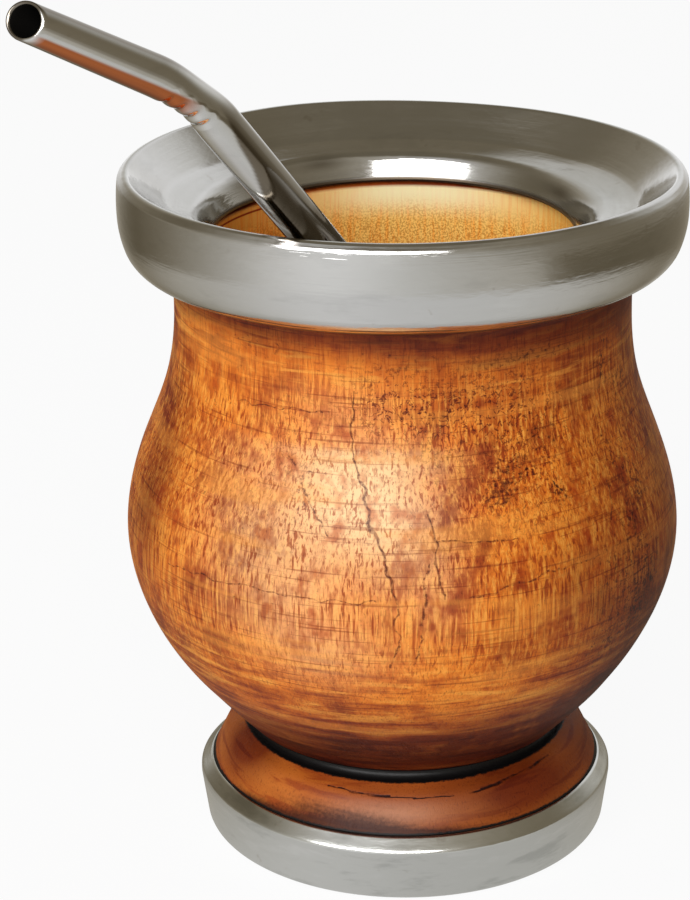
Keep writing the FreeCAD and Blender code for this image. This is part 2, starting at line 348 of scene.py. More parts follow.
def ring_tree():
    """Geometry Nodes: rings round a row of centres, joined into a smooth skin."""
    tree = bpy.data.node_groups.new("rings in a row", "GeometryNodeTree")
    sockets = {}
    for name, kind in (("Geometry", "Geometry"), ("Rings", "Int"), ("Around", "Int"),
                       ("Hand Wobble", "Float"), ("Wobble Size", "Float"), ("Seed", "Float"),
                       ("Crimp Start", "Float"), ("Crimp Pitch", "Float"), ("Crimps", "Float"),
                       ("Crimp Depth", "Float"), ("Crimp Turn", "Float"), ("Material", "Material")):
        item = tree.interface.new_socket(name, in_out="INPUT", socket_type="NodeSocket" + kind)
        sockets[name] = item.identifier
    tree.interface.new_socket("Geometry", in_out="OUTPUT", socket_type="NodeSocketGeometry")
    given = new_node(tree, "NodeGroupInput").outputs
    columns = calc(tree, "ADD", given["Around"], 1.0)
    grid = new_node(tree, "GeometryNodeMeshGrid", {"Vertices X": given["Rings"], "Vertices Y": columns})
    index = new_node(tree, "GeometryNodeInputIndex").outputs[0]
    row = calc(tree, "FLOOR", calc(tree, "DIVIDE", calc(tree, "ADD", index, 0.5), columns))
    column = calc(tree, "SUBTRACT", index, times(tree, row, columns))
    angle = linear(tree, calc(tree, "DIVIDE", column, given["Around"]), 2 * math.pi, 0.5 * math.pi)

    def from_row(name, kind="FLOAT"):
        if name == "position":
            source = new_node(tree, "GeometryNodeInputPosition")
        else:
            source = new_node(tree, "GeometryNodeInputNamedAttribute", {"Name": name}, data_type=kind)
        inputs = {"Geometry": given["Geometry"], "Value": source.outputs[0], "Index": row}
        return new_node(tree, "GeometryNodeSampleIndex", inputs, data_type=kind, domain="POINT").outputs[0]

    def on_ring(turn):
        one = scaled(tree, from_row("reach_one", "FLOAT_VECTOR"), calc(tree, "COSINE", turn))
        two = scaled(tree, from_row("reach_two", "FLOAT_VECTOR"), calc(tree, "SINE", turn))
        return vector_calc(tree, "ADD", one, two)

    along = from_row("along")
    crimp_end = linear(tree, given["Crimps"], given["Crimp Pitch"], given["Crimp Start"])
    inside = times(tree, calc(tree, "GREATER_THAN", along, given["Crimp Start"]),
                   calc(tree, "LESS_THAN", along, crimp_end))
    phase = calc(tree, "DIVIDE", calc(tree, "SUBTRACT", along, given["Crimp Start"]), given["Crimp Pitch"])
    wave = calc(tree, "COSINE", times(tree, phase, 2 * math.pi))
    dip = calc(tree, "POWER", calc(tree, "SUBTRACT", 0.5, times(tree, wave, 0.5)), 1.2)
    facing = calc(tree, "COSINE", calc(tree, "SUBTRACT", angle, given["Crimp Turn"]))
    facing = calc(tree, "POWER", calc(tree, "MAXIMUM", facing, 0.0), 0.6)
    pinch = times(tree, times(tree, dip, inside), times(tree, facing, given["Crimp Depth"]))
    away = vector_calc(tree, "SUBTRACT", on_ring(angle), scaled(tree, on_ring(given["Crimp Turn"]), pinch))
    spot = vector_calc(tree, "ADD", from_row("position", "FLOAT_VECTOR"), away)
    inputs = {"Geometry": grid.outputs["Mesh"], "Name": "hidden_side", "Value": from_row("hidden_side")}
    keep = new_node(tree, "GeometryNodeStoreNamedAttribute", inputs, data_type="FLOAT", domain="POINT")
    shape = new_node(tree, "GeometryNodeSetPosition", {"Geometry": keep.outputs[0], "Position": spot})
    here = new_node(tree, "GeometryNodeInputPosition").outputs[0]
    wave = noise_at(tree, here, given["Wobble Size"], 1.0, 0.5, given["Seed"])
    flat = vector_calc(tree, "NORMALIZE", vector_calc(tree, "MULTIPLY", here, (1.0, 1.0, 0.0)))
    push = times(tree, calc(tree, "SUBTRACT", wave, 0.5), given["Hand Wobble"])
    skin = new_node(tree, "GeometryNodeSetPosition",
                    {"Geometry": shape.outputs[0], "Offset": scaled(tree, flat, push)}).outputs[0]
    for kind, inputs in (("GeometryNodeMergeByDistance", {"Distance": 0.000002}),
                         ("GeometryNodeSetShadeSmooth", {}),
                         ("GeometryNodeRealizeInstances", {}),
                         ("GeometryNodeSetMaterial", {"Material": given["Material"]})):
        skin = new_node(tree, kind, {0: skin, **inputs}).outputs[0]
    new_node(tree, "NodeGroupOutput", {0: skin})
    return tree, sockets


rings_in_a_row, ring_sockets = ring_tree()


def ring_piece(name, rows, material, **settings):
    """Run the tree on rows of (centre, reach, other reach, along, hidden side)."""
    path = bpy.data.meshes.new(name + "_rows")
    path.from_pydata([row[0] for row in rows], [], [])
    for index, key, kind in ((1, "reach_one", "FLOAT_VECTOR"), (2, "reach_two", "FLOAT_VECTOR"),
                             (3, "along", "FLOAT"), (4, "hidden_side", "FLOAT")):
        layer = path.attributes.new(key, kind, "POINT")
        for i, row in enumerate(rows):
            if kind == "FLOAT":
                layer.data[i].value = row[index]
            else:
                layer.data[i].vector = row[index]
    holder = bpy.data.objects.new(name + "_path", path)
    bpy.context.scene.collection.objects.link(holder)
    modifier = holder.modifiers.new("rings", "NODES")
    modifier.node_group = rings_in_a_row
    values = {"Rings": len(rows), "Material": material, "Around": 256, "Hand Wobble": 0.0,
              "Wobble Size": 40.0, "Seed": 0.0, "Crimp Pitch": 1.0, "Crimps": 0.0,
              "Crimp Depth": 0.0, "Crimp Start": 0.0, "Crimp Turn": 0.0}
    values.update({key.replace("_", " "): value for key, value in settings.items()})
    for key, value in values.items():
        modifier[ring_sockets[key]] = value
    shot = holder.evaluated_get(bpy.context.evaluated_depsgraph_get())
    mesh = bpy.data.meshes.new_from_object(shot)
    bpy.data.objects.remove(holder)
    mesh.name = name
    body = bmesh.new()
    body.from_mesh(mesh)
    bmesh.ops.dissolve_degenerate(body, dist=1e-7, edges=body.edges)
    bmesh.ops.recalc_face_normals(body, faces=body.faces)
    if body.calc_volume(signed=True) < 0:
        bmesh.ops.reverse_faces(body, faces=body.faces)
    body.to_mesh(mesh)
    body.free()
    piece = bpy.data.objects.new(name, mesh)
    bpy.context.scene.collection.objects.link(piece)
    return piece


def turned_rows(profile, hidden=()):
    """Rows for a form that is turned round the upright middle line."""
    rows = []
    for i, (r, z) in enumerate(profile):
        rows.append(((0, 0, z * mm), (r * mm, 0, 0), (0, r * mm, 0), 0.0, 1.0 if i in hidden else 0.0))
    return rows


collar_r, collar_z = 40.28, 95.2
hem = (37.2, 88.0)
hem_r = 35.6
band_low = (39.4, 90.4)
rim_out, rim_top, rim_in = (39.68, 100.38), (39.0, 100.85), (38.3, 100.55)
crease, lip = (33.5, 96.15), (30.7, 95.0)
roll_top, mouth_edge = (29.25, 93.95), (27.75, 90.75)
collar_profile = chain(
    line_points((hem_r, hem[1]), hem, 3),
    arc_points(hem, (38.52, 89.01), band_low, 7),
    arc_points(band_low, (40.05, 92.8), (collar_r, collar_z), 9),
    arc_points((collar_r, collar_z), (40.26, 97.7), (40.10, 99.6), 8),
    arc_points((40.10, 99.6), (39.97, 100.05), rim_out, 4),
    arc_points(rim_out, rim_top, rim_in, 8),
    line_points(rim_in, crease, 8),
    line_points(crease, lip, 6),
    spline_points([lip, (29.85, 94.62), roll_top, (28.82, 93.05), (28.32, 91.95), mouth_edge], 4),
)
cap_r, cap_wide_z = 31.1, 7.1
cap_edge, cap_lip = (30.84, 8.37), (29.36, 9.93)
cap_profile = chain(
    line_points((0, 0), (29.3, 0), 10),
    arc_points((29.3, 0), (30.0, 0.3), (30.3, 1.0), 6),
    line_points((30.3, 1.0), (cap_r, cap_wide_z), 10),
    line_points((cap_r, cap_wide_z), (31.09, 7.7), 2),
    arc_points((31.09, 7.7), (31.025, 8.06), cap_edge, 6),
    line_points(cap_edge, cap_lip, 5),
)
sheet_steel, fit = 0.8, 0.1
throat_r = 28.0
under_cap = lining(cap_profile, sheet_steel + fit)
under_collar = lining(collar_profile, sheet_steel + fit)
wood_outside = chain(
    under_cap,
    [(cap_lip[0] - 0.08, cap_lip[1] + 0.07)],
    spline_points([(29.24, 10.05), (28.62, 11.12), (27.5, 13.1), (26.3, 14.7), (24.3, 15.9)], 6,
                  end_slope=(-0.78, 0.62)),
    arc_points((24.3, 15.9), (22.7, 16.8), (24.5, 17.75), 12),
    spline_points([(24.5, 17.75), (31.8, 26.0), (37.4, 35.0), (40.35, 46.6), (37.8, 60.0),
                   (34.1, 70.0), (32.75, 79.0), (32.75, 85.4)], 15),
    arc_points((32.75, 85.4), (33.46, 87.22), (hem_r - fit, hem[1]), 8),
    [(hem_r - fit, hem[1] + sheet_steel)],
    [p for p in under_collar if p[1] > 90.6],
    [(28.5, 90.15), (throat_r, 90.1), (throat_r, 89.6)],
)
wood_inside = spline_points([(throat_r, 89.6), (28.29, 80.0), (29.55, 70.0), (30.47, 60.0), (30.0, 50.0),
                             (27.2, 40.0), (18.05, 30.0), (0.0, 26.0)], 9,
                            start_slope=(0, -1), end_slope=(-1, 0))
wood_profile = chain(wood_outside, wood_inside)
inner_rows = set(range(len(wood_outside) - 1, len(wood_profile)))

def turning_group():
    """Fine rings that the tool and the polishing cloth leave round a turned piece."""
    group = bpy.data.node_groups.new("turning rings", "ShaderNodeTree")
    for name, kind in (("Object Place", "Vector"), ("Rings per Metre", "Float"), ("Broken Up", "Float")):
        group.interface.new_socket(name, in_out="INPUT", socket_type="NodeSocket" + kind)
    for name in ("Rings", "Wide Rings"):
        group.interface.new_socket(name, in_out="OUTPUT", socket_type="NodeSocketFloat")
    given = new_node(group, "NodeGroupInput").outputs
    parts = split(group, given["Object Place"])
    up = linear(group, from_axis(group, given["Object Place"]), 0.4, parts["Z"])
    drift = new_node(group, "ShaderNodeCombineXYZ", {
        "X": times(group, parts["X"], given["Broken Up"]),
        "Y": times(group, parts["Y"], given["Broken Up"]),
        "Z": times(group, up, given["Rings per Metre"])}).outputs[0]
    fine = noise_at(group, drift, 1.0, 3.0, 0.6)
    wide = noise_at(group, stretched(group, drift, (0.5, 0.5, 0.16)), 1.0, 2.0, 0.5, 3.0)
    new_node(group, "NodeGroupOutput", {"Rings": fine, "Wide Rings": wide})
    return group


turning_rings = turning_group()


def crack_group():
    """One crack or scratch on the unrolled surface, from one place to another."""
    group = bpy.data.node_groups.new("crack line", "ShaderNodeTree")
    for name, kind in (("Place", "Vector"), ("From", "Vector"), ("To", "Vector"), ("Width", "Float")):
        group.interface.new_socket(name, in_out="INPUT", socket_type="NodeSocket" + kind)
    group.interface.new_socket("Crack", in_out="OUTPUT", socket_type="NodeSocketFloat")
    given = new_node(group, "NodeGroupInput").outputs
    run = vector_calc(group, "SUBTRACT", given["To"], given["From"])
    away = vector_calc(group, "SUBTRACT", given["Place"], given["From"])
    share = calc(group, "DIVIDE", vector_calc(group, "DOT_PRODUCT", away, run),
                 vector_calc(group, "DOT_PRODUCT", run, run))
    share = calc(group, "MINIMUM", calc(group, "MAXIMUM", share, 0.0), 1.0)
    gap = vector_calc(group, "DISTANCE", away, scaled(group, run, share))
    crack = fade(group, gap, given["Width"], times(group, given["Width"], 0.25))
    new_node(group, "NodeGroupOutput", {0: crack})
    return group


crack_line = crack_group()


def placed(tree, group, **inputs):
    inputs = {key.replace("_", " "): value for key, value in inputs.items()}
    return new_node(tree, "ShaderNodeGroup", inputs, node_tree=group).outputs


wood_material, tree, surface = new_material("turned_wood")
place = object_place(tree)
parts = split(tree, place)
level = times(tree, parts["Z"], 1000.0)
degrees = times(tree, calc(tree, "ARCTAN2", parts["X"], times(tree, parts["Y"], -1.0)), 180 / math.pi)
mm_per_degree = 0.7
unrolled = new_node(tree, "ShaderNodeCombineXYZ", {"X": times(tree, degrees, mm_per_degree), "Y": level})
sway = new_node(tree, "ShaderNodeTexNoise", {"Vector": place, "Scale": 330.0, "Detail": 2.0})
shake = vector_calc(tree, "SUBTRACT", sway.outputs["Color"], (0.5, 0.5, 0.5))
shake = vector_calc(tree, "MULTIPLY", shake, (3.0, 1.8, 0.0))
shake = scaled(tree, shake, linear(tree, fade(tree, level, 18.0, 22.0), 0.72, 0.28))
unrolled_place = vector_calc(tree, "ADD", unrolled.outputs[0], shake)


def cracks(tree, lines):
    """Strongest of many cracks: each is (degrees, height, degrees, height, width)."""
    result = None
    for a, b, c, d, width in lines:
        mask = placed(tree, crack_line, Place=unrolled_place, From=(a * mm_per_degree, b, 0),
                      To=(c * mm_per_degree, d, 0), Width=width)[0]
        result = mask if result is None else calc(tree, "MAXIMUM", result, mask)
    return result


def attribute(tree, name):
    return new_node(tree, "ShaderNodeAttribute", attribute_name=name).outputs["Fac"]


hollow = attribute(tree, "hidden_side")
stain = attribute(tree, "stain")
fleck_zone = attribute(tree, "fleck_zone")
pale_and_sheen_zone = attribute(tree, "pale_and_sheen_zone")
burnt_zone = attribute(tree, "burnt_zone")
shade_zone = attribute(tree, "shade_zone")
rings = placed(tree, turning_rings, Object_Place=place, Rings_per_Metre=2300.0, Broken_Up=60.0)
fibre = noise_at(tree, stretched(tree, place, (2300, 2300, 150)), 1.0, 2.0, 0.6, 1.0, 0.55)
fibre_fine = noise_at(tree, stretched(tree, place, (4600, 4600, 420)), 1.0, 1.0, 0.5, 11.0)
fibre_wide = noise_at(tree, stretched(tree, place, (900, 900, 50)), 1.0, 2.0, 0.5, 2.0)
mottle = noise_at(tree, place, 1700.0, 2.0, 0.6, 3.0, 0.5)
curl = noise_at(tree, place, 720.0, 2.0, 0.6, 12.0, 1.3)
curl_line = fade(tree, calc(tree, "ABSOLUTE", calc(tree, "SUBTRACT", curl, 0.5)), 0.050, 0.016)
dashes = times(tree, curl_line, fade(tree, mottle, 0.55, 0.46))
grains = noise_at(tree, place, 3600.0, 2.0, 0.6, 14.0)
cloud = noise_at(tree, place, 62.0, 3.0, 0.55, 4.0)
cloud_small = noise_at(tree, stretched(tree, place, (250, 250, 170)), 1.0, 3.0, 0.65, 5.0)


def darkened(tree, factor, colour, shade):
    """Darken a colour, for stains and for painted shade: the shade multiplies it where the factor is 1."""
    return blend(tree, factor, colour, (*shade, 1), "MULTIPLY")


tone = linear(tree, cloud, 0.55, times(tree, cloud_small, 0.45))
colour = ramp(tree, tone, [(0.36, (0.27, 0.042, 0.004)), (0.46, (0.54, 0.115, 0.008)),
                           (0.56, (0.80, 0.205, 0.015)), (0.68, (0.90, 0.31, 0.030))])
upright = times(tree, fade(tree, level, 34.0, 48.0), fade(tree, level, 84.0, 72.0))
upright = linear(tree, upright, 0.75, 0.25)
light_strokes = times(tree, fade(tree, fibre_wide, 0.50, 0.66), times(tree, upright, 0.42))
colour = blend(tree, light_strokes, colour, (0.92, 0.36, 0.045, 1))
light_fibre = times(tree, fade(tree, fibre, 0.52, 0.62), times(tree, upright, 0.50))
colour = blend(tree, light_fibre, colour, (0.96, 0.44, 0.075, 1))
flowing = noise_at(tree, stretched(tree, place, (75, 75, 700)), 1.0, 3.0, 0.6, 15.0, 0.6)
flow_share = calc(tree, "SUBTRACT", 1.15, upright)
flow_light = times(tree, fade(tree, flowing, 0.50, 0.64), flow_share)
colour = blend(tree, flow_light, colour, (0.92, 0.38, 0.055, 1))
flow_dark = times(tree, fade(tree, flowing, 0.48, 0.36), flow_share)
colour = darkened(tree, flow_dark, colour, (0.52, 0.32, 0.25))
# Painted sheen: a pale patch with a straight top edge where the window shows in the varnish, partly paler
# wood.
sheen_edge = linear(tree, fibre, 2.0, level)
pale = times(tree, pale_and_sheen_zone, linear(tree, fade(tree, sheen_edge, 72.2, 70.6), 0.6, 0.4))
colour = blend(tree, times(tree, pale, 0.92), colour, (0.97, 0.60, 0.29, 1))
pores = times(tree, fade(tree, fibre, 0.48, 0.38), fade(tree, cloud_small, 0.38, 0.55))
fine_pores = fade(tree, fibre_fine, 0.44, 0.30)
reddish = fade(tree, cloud_small, 0.50, 0.36)
for mask, shade in ((times(tree, pores, upright), (0.50, 0.27, 0.20)),
                    (times(tree, fine_pores, 0.55), (0.42, 0.25, 0.20)),
                    (times(tree, reddish, upright), (0.66, 0.40, 0.32)),
                    (times(tree, fade(tree, rings["Rings"], 0.44, 0.34), 0.70), (0.46, 0.28, 0.24))):
    colour = darkened(tree, mask, colour, shade)
ring_light = times(tree, fade(tree, rings["Wide Rings"], 0.52, 0.66), 0.30)
colour = blend(tree, ring_light, colour, (0.92, 0.36, 0.055, 1))
flecks = times(tree, dashes, linear(tree, fleck_zone, 0.95, 0.14))
blots = calc(tree, "SUBTRACT", 0.5, mottle)
stain_edge = fade(tree, linear(tree, blots, 2.2, times(tree, stain, 0.62)), 0.25, 0.75)
top_edge = calc(tree, "ADD", level, times(tree, cloud_small, 4.0))
# Painted shadow under the collar's hem, deeper towards the right, partly a red-brown band in the wood.
collar_shadow_edge = calc(tree, "ADD", level, times(tree, flowing, 8.0))
collar_shadow_edge = calc(tree, "ADD", collar_shadow_edge, times(tree, parts["X"], 50.0))
low_edge = calc(tree, "ADD", level, times(tree, rings["Wide Rings"], 12.0))
for mask, shade in ((flecks, (0.26, 0.12, 0.11)),
                    (times(tree, stain_edge, 0.9), (0.22, 0.12, 0.15)),
                    (fade(tree, collar_shadow_edge, 84.0, 89.5), (0.34, 0.19, 0.13)),
                    (fade(tree, low_edge, 44.0, 30.0), (0.60, 0.44, 0.42)),
                    (fade(tree, low_edge, 33.0, 25.0), (0.26, 0.14, 0.11)),
                    (times(tree, shade_zone, cloud_small), (0.20, 0.10, 0.07))):
    colour = darkened(tree, mask, colour, shade)
long_cracks = cracks(tree, [
    (-13, 78.4, -12.4, 70.6, 0.20), (-12.4, 70.6, -11, 66.8, 0.24), (-11, 66.8, -9, 63.1, 0.30),
    (-9, 63.1, -5, 56.7, 0.30), (-5, 56.7, -3, 51.7, 0.26), (4, 62.6, 5, 56.1, 0.24),
    (5, 56.1, 6, 51.5, 0.22)])
foot_cracks = cracks(tree, [
    (-27, 14.95, -17, 14.85, 0.09), (-19, 14.8, -11, 14.72, 0.13), (-13, 14.65, -6, 14.7, 0.17),
    (-9, 14.62, 2, 14.5, 0.08), (1, 14.42, 14, 14.48, 0.08), (19, 14.45, 26, 14.62, 0.15),
    (23, 14.6, 31, 14.75, 0.21), (29, 14.75, 36, 14.92, 0.16), (35, 14.9, 42, 15.02, 0.09),
    (42, 14.95, 49, 15.08, 0.16), (47, 15.05, 54, 15.12, 0.12)])
fine_cracks = cracks(tree, [
    (-3, 51.7, -2.5, 46.0, 0.24), (-2.5, 46.0, -4, 41.5, 0.24), (3.5, 56.3, 2.5, 46.0, 0.24),
    (2.5, 46.0, 0.5, 42.0, 0.22), (-27.5, 69.0, -21.5, 63.1, 0.26), (-21.5, 63.1, -16.5, 59.5, 0.26),
    (-55.5, 50.0, -33, 51.3, 0.14), (-33, 51.3, -7, 51.2, 0.14), (11.5, 51.6, 28.5, 53.2, 0.22),
    (28.5, 53.2, 41, 53.5, 0.18), (-43.5, 74.6, -18.5, 75.3, 0.14), (4, 59.4, 22.5, 58.3, 0.14),
    (48, 62.4, 46.5, 57.2, 0.24), (56, 80.5, 52.5, 72.6, 0.26), (33, 65.0, 35, 62.0, 0.30)])
breaks = fade(tree, mottle, 0.54, 0.42)
long_cracks = times(tree, long_cracks, linear(tree, breaks, 0.35, 0.60))
fine_cracks = times(tree, fine_cracks, linear(tree, breaks, 0.6, 0.25))
foot_breaks = linear(tree, fade(tree, cloud_small, 0.38, 0.52), 0.85, 0.15)
foot_cracks = times(tree, foot_cracks, foot_breaks)
all_cracks = calc(tree, "MAXIMUM", calc(tree, "MAXIMUM", long_cracks, fine_cracks), foot_cracks)
foot = fade(tree, level, 17.2, 16.2)
foot_tone = linear(tree, cloud, 0.5, times(tree, rings["Wide Rings"], 0.5))
foot_colour = ramp(tree, foot_tone, [(0.36, (0.28, 0.052, 0.006)), (0.48, (0.42, 0.095, 0.010)),
                                     (0.58, (0.54, 0.150, 0.020)), (0.70, (0.62, 0.20, 0.030))])
for mask, shade in ((times(tree, shade_zone, 0.7), (0.30, 0.16, 0.12)),
                    (times(tree, fine_pores, 0.5), (0.45, 0.28, 0.22)),
                    (fade(tree, flowing, 0.47, 0.36), (0.70, 0.52, 0.46))):
    foot_colour = darkened(tree, mask, foot_colour, shade)
# Painted sheen on the foot: a pinkish pale patch, partly paler wood.
foot_colour = blend(tree, times(tree, pale_and_sheen_zone, 0.8), foot_colour, (0.46, 0.20, 0.10, 1))
burnt_noise = linear(tree, mottle, 0.6, times(tree, flowing, 0.9))
burnt = fade(tree, calc(tree, "ADD", burnt_zone, calc(tree, "SUBTRACT", burnt_noise, 0.75)), 0.10, 1.05)
foot_colour = darkened(tree, times(tree, burnt, 0.95), foot_colour, (0.12, 0.09, 0.10))
colour = blend(tree, foot, colour, foot_colour)
colour = darkened(tree, all_cracks, colour, (0.20, 0.10, 0.09))
colour = darkened(tree, foot_cracks, colour, (0.30, 0.20, 0.20))
ragged = calc(tree, "SUBTRACT", mottle, 0.5)
groove_side = linear(tree, ragged, 0.0006, from_axis(tree, place))
groove = calc(tree, "MAXIMUM", fade(tree, groove_side, 0.02456, 0.02436), fade(tree, level, 16.2, 16.6))
groove = times(tree, groove, fade(tree, level, 18.25, 17.85))
groove = times(tree, groove, fade(tree, level, 14.0, 15.0))
at_cap = fade(tree, linear(tree, ragged, 0.4, level), 10.32, 10.12)
colour = blend(tree, calc(tree, "MAXIMUM", groove, at_cap), colour, (0.004, 0.003, 0.003, 1))
inside_colour = blend(tree, fade(tree, fibre, 0.36, 0.58), (1.0, 0.44, 0.075, 1), (1.0, 0.60, 0.15, 1))
# Painted light: the back wall of the hollow made paler just under the lip, where the window shines in.
painted_back_light = times(tree, fade(tree, level, 84.0, 89.0), fade(tree, parts["Y"], 0.014, 0.026))
off_centre = calc(tree, "ABSOLUTE", calc(tree, "SUBTRACT", parts["X"], 0.003))
painted_back_light = times(tree, painted_back_light, linear(tree, fade(tree, off_centre, 0.016, 0.003), 0.5, 0.3))
inside_colour = blend(tree, painted_back_light, inside_colour, (1.0, 0.93, 0.58, 1))
speckled = times(tree, fade(tree, grains, 0.56, 0.42), fade(tree, top_edge, 91.0, 85.0))
# Painted shadow: a thin dark line under the collar's lip, on the left inside the mouth.
painted_lip_shadow = times(tree, fade(tree, level, 88.85, 89.0), fade(tree, level, 89.3, 89.15))
painted_lip_shadow = times(tree, painted_lip_shadow, fade(tree, parts["X"], -0.014, -0.021))
# Grain speckles, then painted shade: the lip's shadow line, a darker left side of the hollow and more
# shade deeper down.
for mask, shade in ((speckled, (0.66, 0.50, 0.38)),
                    (painted_lip_shadow, (0.35, 0.06, 0.03)),
                    (fade(tree, parts["X"], -0.004, -0.022), (0.86, 0.60, 0.38)),
                    (fade(tree, level, 83.0, 60.0), (0.30, 0.20, 0.12))):
    inside_colour = darkened(tree, mask, inside_colour, shade)
colour = blend(tree, hollow, colour, inside_colour)
gloss = linear(tree, hollow, -0.15, linear(tree, pale, 0.2, 0.15))
gloss = times(tree, gloss, linear(tree, fade(tree, level, 22.0, 38.0), 0.55, 0.45))
relief = linear(tree, pores, -0.5, times(tree, rings["Rings"], 0.35))
relief = linear(tree, all_cracks, -2.2, relief)
relief = linear(tree, mottle, 0.4, relief)
bump = new_node(tree, "ShaderNodeBump", {"Strength": 0.4, "Distance": 0.00012, "Height": relief})
wood = new_node(tree, "ShaderNodeBsdfPrincipled", {
    "Base Color": colour, "Roughness": linear(tree, mottle, 0.25, 0.42),
    "Coat Weight": linear(tree, groove, 0.2, gloss), "Coat Roughness": 0.30, "Coat IOR": 1.5,
    "Specular IOR Level": 0.15, "Normal": bump.outputs[0]})
plug(tree, wood.outputs[0], surface)


def step_between(value, low, high):
    """0 at low, 1 at high, with a soft change between them."""
    share = min(1.0, max(0.0, (value - low) / (high - low)))
    return share * share * (3 - 2 * share)


def between(value, pairs):
    """Straight lines through (place, value) pairs."""
    if value <= pairs[0][0]:
        return pairs[0][1]
    for (a, p), (b, q) in zip(pairs, pairs[1:]):
        if value <= b:
            return p + (q - p) * (value - a) / (b - a)
    return pairs[-1][1]


def hand_fitted(piece):
    """Small faults of hand work: foot cap sunk at the back, mouth and belly a little left."""
    for vertex in piece.data.vertices:
        x, y, z = (value / mm for value in vertex.co)
        r = math.hypot(x, y)
        back = step_between(abs(math.degrees(math.atan2(x, -y))), 60, 125)
        drop = back * between(z, [(1, 0), (7.1, 0.4), (8.65, 1.15), (9.8, 1.5), (12, 1.2), (15.9, 0)])
        if z > 90:
            drop += 0.6 * step_between(x * 0.8 + y * 0.6, 5, 36) * step_between(z, 90, 98)
        if piece.name == "steel_collar":
            squeeze = step_between(r, 33, 28) * (0.115 if x > 0 else 0.02 * step_between(y, -16, -6))
            x -= x * squeeze
        left = 0.3 * between(z, [(20, 0), (34, 1), (60, 1), (80, 0)]) * step_between(r, 30.5, 33)
        vertex.co = ((x - left) * mm, y * mm, (z - drop) * mm)


wood_rows = turned_rows(wood_profile, inner_rows)
cup = ring_piece("cup_wood", wood_rows, wood_material, Around=288, Hand_Wobble=0.00016,
                 Wobble_Size=45.0, Seed=2.0)
hand_fitted(cup)


def spread(degrees, level, marks):
    """Sum of soft round marks, each (degrees, height, half width, half height, strength)."""
    total = 0.0
    for a, z, wide, tall, strength in marks:
        total += strength * math.exp(-((degrees - a) / wide) ** 2 - ((level - z) / tall) ** 2)
    return total


stains = [
    (18.5, 64.2, 3.5, 1.8, 1.0), (33.5, 63.3, 2.0, 1.6, 0.8), (24, 66.5, 6, 2.8, 0.50),
    (55, 78, 3.5, 4.0, 0.60), (63, 73, 5, 4, 0.55), (52, 65, 3, 4, 0.50), (58, 60, 4, 3.5, 0.65),
    (53, 56, 4, 2.5, 0.60), (47, 51, 7, 4, 0.45), (57, 47, 6, 5, 0.60), (52, 41, 7, 5, 0.50),
    (44, 38, 5, 4, 0.35), (-52, 63, 4, 3, 0.30), (-53, 72, 3, 2.5, 0.30), (-37, 83, 8, 1.5, 0.40),
    (-23, 66, 2.5, 5, 0.50), (2, 75, 6, 3, 0.40), (20, 78, 10, 2.5, 0.40), (8, 71, 4, 2.5, 0.25),
    (-2, 82, 9, 2, 0.45), (30, 82, 14, 2, 0.40), (32, 72, 8, 4, 0.35), (-80, 55, 9, 24, 0.30),
    (100, 70, 9, 7, 0.45), (128, 50, 12, 5, 0.40), (165, 63, 8, 9, 0.40), (-110, 60, 10, 5, 0.40),
    (-140, 72, 9, 4, 0.40), (-95, 45, 12, 4, 0.35), (-160, 48, 9, 5, 0.35),
]
fleck_marks = [(16, 75.5, 20, 5.5, 1.0), (-5, 77, 9, 4, 0.7), (28, 66, 12, 6, 0.7), (60, 68, 12, 12, 0.45),
               (-28, 70, 7, 7, 0.35), (50, 45, 12, 8, 0.5), (120, 60, 20, 10, 0.6), (-130, 65, 22, 8, 0.6)]
# Marks of the pale patches: painted sheen of the window on belly and foot, partly paler wood.
pale_and_sheen_marks = [
    (-12, 65, 14, 7.5, 1.05), (-22, 52, 12, 9, 0.35), (-16, 43, 14, 5, 0.25), (0, 55, 8, 6, 0.2),
    (-6, 12.5, 20, 1.6, 0.9), (-4, 61, 9, 5, 0.4), (6, 52, 5, 6, 0.15), (-8, 70, 16, 3, 0.45),
    (-16, 76, 13, 4, 0.40), (-34, 60, 14, 12, 0.30), (170, 55, 25, 10, 0.5),
]
shade_marks = [
    (62, 38, 22, 14, 1.5), (38, 50, 14, 10, 0.6), (30, 27, 34, 5, 1.1), (0, 23, 60, 3, 0.8),
    (-66, 58, 8, 12, 1.0), (-62, 16, 14, 4, 1.2), (30, 84, 40, 6, 0.7), (52, 64, 16, 14, 0.5),
    (72, 58, 10, 20, 0.6), (48, 28, 26, 8, 0.7), (70, 75, 16, 12, 0.35), (38, 13, 28, 4.5, 1.6),
    (85, 14, 22, 5, 0.8), (-72, 15, 16, 5, 0.9), (120, 40, 30, 30, 0.5), (-70, 55, 7, 8, 0.5),
    (-20, 24, 25, 3, 0.5), (18, 70, 7, 4, 0.15), (50, 43, 16, 7, 0.5), (5, 25.5, 50, 2.5, 0.5),
    (-38, 27, 14, 3, 0.5),
]
burnt_marks = [(-20, 10.0, 24, 2.6, 1.35), (5, 10.2, 16, 0.7, 0.7), (-50, 10.0, 14, 0.8, 0.7),
               (60, 10.0, 40, 0.5, 0.6), (180, 9.5, 60, 1.0, 0.8), (-90, 9.5, 30, 0.8, 0.7)]
for name, marks in (("stain", stains), ("fleck_zone", fleck_marks), ("pale_and_sheen_zone", pale_and_sheen_marks),
                    ("shade_zone", shade_marks), ("burnt_zone", burnt_marks)):
    layer = cup.data.attributes.new(name, "FLOAT", "POINT")
    for vertex in cup.data.vertices:
        x, y, z = vertex.co
        layer.data[vertex.index].value = spread(math.degrees(math.atan2(x, -y)), z / mm, marks)
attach(cup, "root")
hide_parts("cup_body")


